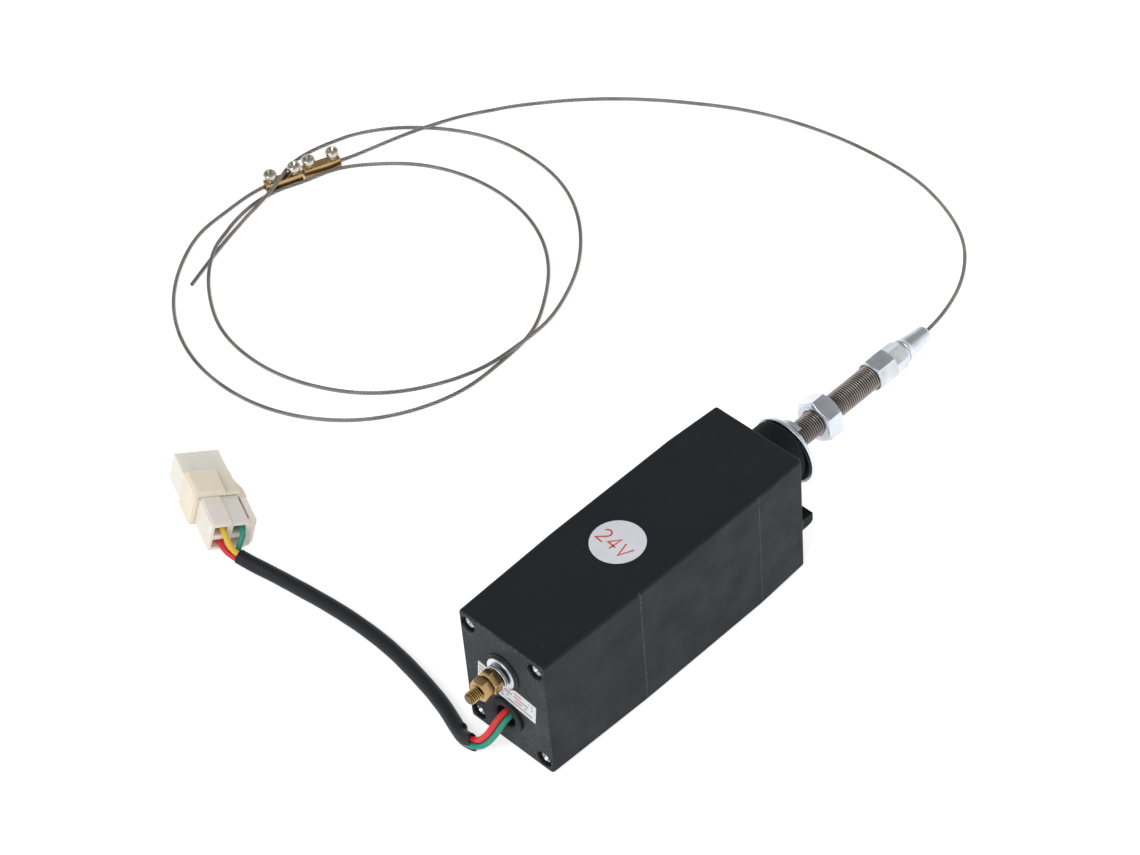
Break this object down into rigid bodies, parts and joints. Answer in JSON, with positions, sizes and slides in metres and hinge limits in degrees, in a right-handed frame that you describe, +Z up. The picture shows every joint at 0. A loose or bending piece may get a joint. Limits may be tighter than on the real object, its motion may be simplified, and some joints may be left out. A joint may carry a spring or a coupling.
{
  "type": "fuel shutoff solenoid",
  "caption": "Pull-type fuel shutoff solenoid: boxed plastic housing, threaded cable neck, long steel pull cable with a screw clamp, brass power stud and a sleeved wire lead.",
  "frame": {"origin": "centre of the housing's flat bottom face", "axes": "+X from the rear cover with the power stud to the threaded neck, +Z up, +Y to the side that the cable and lead lie on"},
  "size_m": [0.4075, 0.3812, 0.0706],
  "materials": {
    "housing_body": "fine moulded texture",
    "rear_cover": "fine moulded texture",
    "cover_screws": "zinc plated",
    "neck_tube": "nickel plated, threaded",
    "neck_seal": "matte",
    "neck_washer": "zinc plated",
    "neck_lock_washer": "zinc plated",
    "neck_nut": "zinc plated",
    "end_fitting": "zinc plated",
    "terminal_stud": "turned brass",
    "terminal_insulator": "matte",
    "terminal_washer": "zinc plated",
    "terminal_lock_washer": "zinc plated",
    "terminal_nuts": "turned brass",
    "terminal_lead": "insulated wire and brass eyelet",
    "rear_label": "self-adhesive label",
    "voltage_sticker": "self-adhesive sticker",
    "wire_grommet": "matte",
    "wire_red": "smooth insulation",
    "wire_green": "smooth insulation",
    "wire_yellow": "smooth insulation",
    "wire_sleeve": "soft sleeve",
    "harness_plug": "natural nylon",
    "plug_terminals": "tinned",
    "mating_housing": "natural nylon",
    "solenoid_frame": "zinc plated sheet",
    "front_plate": "zinc plated plate",
    "fixed_core": "turned steel",
    "bobbin": "moulded",
    "coil_winding": "enamelled copper wire",
    "guide_tube": "drawn brass",
    "coil_terminals": "moulded",
    "rest_bumper": "matte",
    "plunger": "ground steel",
    "plunger_clip": "spring steel",
    "return_spring": "spring steel wire",
    "cable_ferrule": "crimped brass",
    "cable_retainer": "turned brass",
    "inner_cable": "stranded wire rope",
    "outer_cable": "stranded wire rope",
    "clamp_bar_inner": "drilled bar",
    "clamp_bar_outer": "drilled bar",
    "clamp_screws": "plated"
  },
  "bodies": {
    "housing": {"housing_body": "housing_body", "rear_cover": "rear_cover", "cover_screws": "cover_screws", "neck_tube": "neck_tube", "neck_seal": "neck_seal", "neck_washer": "neck_washer", "neck_lock_washer": "neck_lock_washer", "neck_nut": "neck_nut", "end_fitting": "end_fitting", "terminal_stud": "terminal_stud", "terminal_insulator": "terminal_insulator", "terminal_washer": "terminal_washer", "terminal_lock_washer": "terminal_lock_washer", "terminal_nuts": "terminal_nuts", "terminal_lead": "terminal_lead", "rear_label": "rear_label", "voltage_sticker": "voltage_sticker", "wire_grommet": "wire_grommet", "wire_red": "wire_red", "wire_green": "wire_green", "wire_yellow": "wire_yellow", "wire_sleeve": "wire_sleeve", "harness_plug": "harness_plug", "plug_terminals": "plug_terminals", "mating_housing": "mating_housing", "solenoid_frame": "solenoid_frame", "front_plate": "front_plate", "fixed_core": "fixed_core", "bobbin": "bobbin", "coil_winding": "coil_winding", "guide_tube": "guide_tube", "coil_terminals": "coil_terminals", "rest_bumper": "rest_bumper", "return_spring": "return_spring", "outer_cable": "outer_cable", "clamp_bar_inner": "clamp_bar_inner", "clamp_bar_outer": "clamp_bar_outer", "clamp_screws": "clamp_screws"},
    "plunger": {"plunger": "plunger", "plunger_clip": "plunger_clip", "cable_ferrule": "cable_ferrule", "cable_retainer": "cable_retainer", "inner_cable": "inner_cable"}
  },
  "joints": [
    {"name": "plunger_slide", "type": "slide", "parent": "housing", "child": "plunger", "axis": [-1, 0, 0], "range_m": [0, 0.028], "stiffness_N_per_m": 350, "springref_m": -0.02, "deforming": ["return_spring"]}
  ]
}
